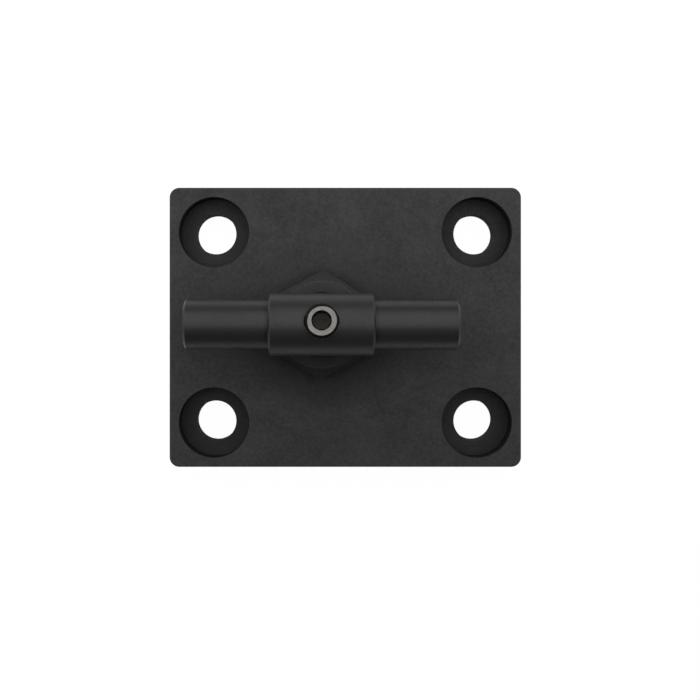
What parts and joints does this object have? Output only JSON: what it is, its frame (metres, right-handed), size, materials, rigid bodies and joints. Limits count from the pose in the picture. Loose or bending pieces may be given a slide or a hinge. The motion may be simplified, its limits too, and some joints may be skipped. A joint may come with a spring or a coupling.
{
  "type": "t hinge",
  "caption": "Gate hinge base: a counterbored mounting plate with a screwed-in tee whose cross pin carries the gate's knuckles, locked by a hex nut.",
  "frame": {"origin": "centre of the mounting plate's back face", "axes": "+X along the plate's long side and along the hinge pin, +Y along the plate's short side, +Z out of the plate's front, along the stud"},
  "size_m": [0.09, 0.0716, 0.0408],
  "materials": {
    "black_plate": "matte black coating",
    "black_steel": "satin black",
    "bare_steel": "bare, lightly worn"
  },
  "bodies": {
    "plate": {"mounting_plate": "black_plate"},
    "tee": {"threaded_stud": "black_steel", "pivot_barrel": "black_steel", "weld_bead": "black_steel"},
    "nut": {"lock_nut": "black_steel"},
    "pin": {"hinge_pin": "black_steel"},
    "screw": {"set_screw": "bare_steel"}
  },
  "joints": [
    {"name": "tee_turn", "type": "hinge", "parent": "plate", "child": "tee", "pos_m": [-0.006, 0.0006, 0.012], "axis": [0, 0, 1], "range_deg": [-180, 180]},
    {"name": "lock_nut_run", "type": "slide", "parent": "tee", "child": "nut", "axis": [0, 0, 1], "range_m": [0, 0.0043]},
    {"name": "pin_turn", "type": "hinge", "parent": "tee", "child": "pin", "pos_m": [-0.006, 0.0006, 0.032], "axis": [1, 0, 0], "continuous": true},
    {"name": "set_screw_travel", "type": "slide", "parent": "tee", "child": "screw", "axis": [0, 0.1045, 0.9945], "range_m": [0, 0.0032]}
  ]
}
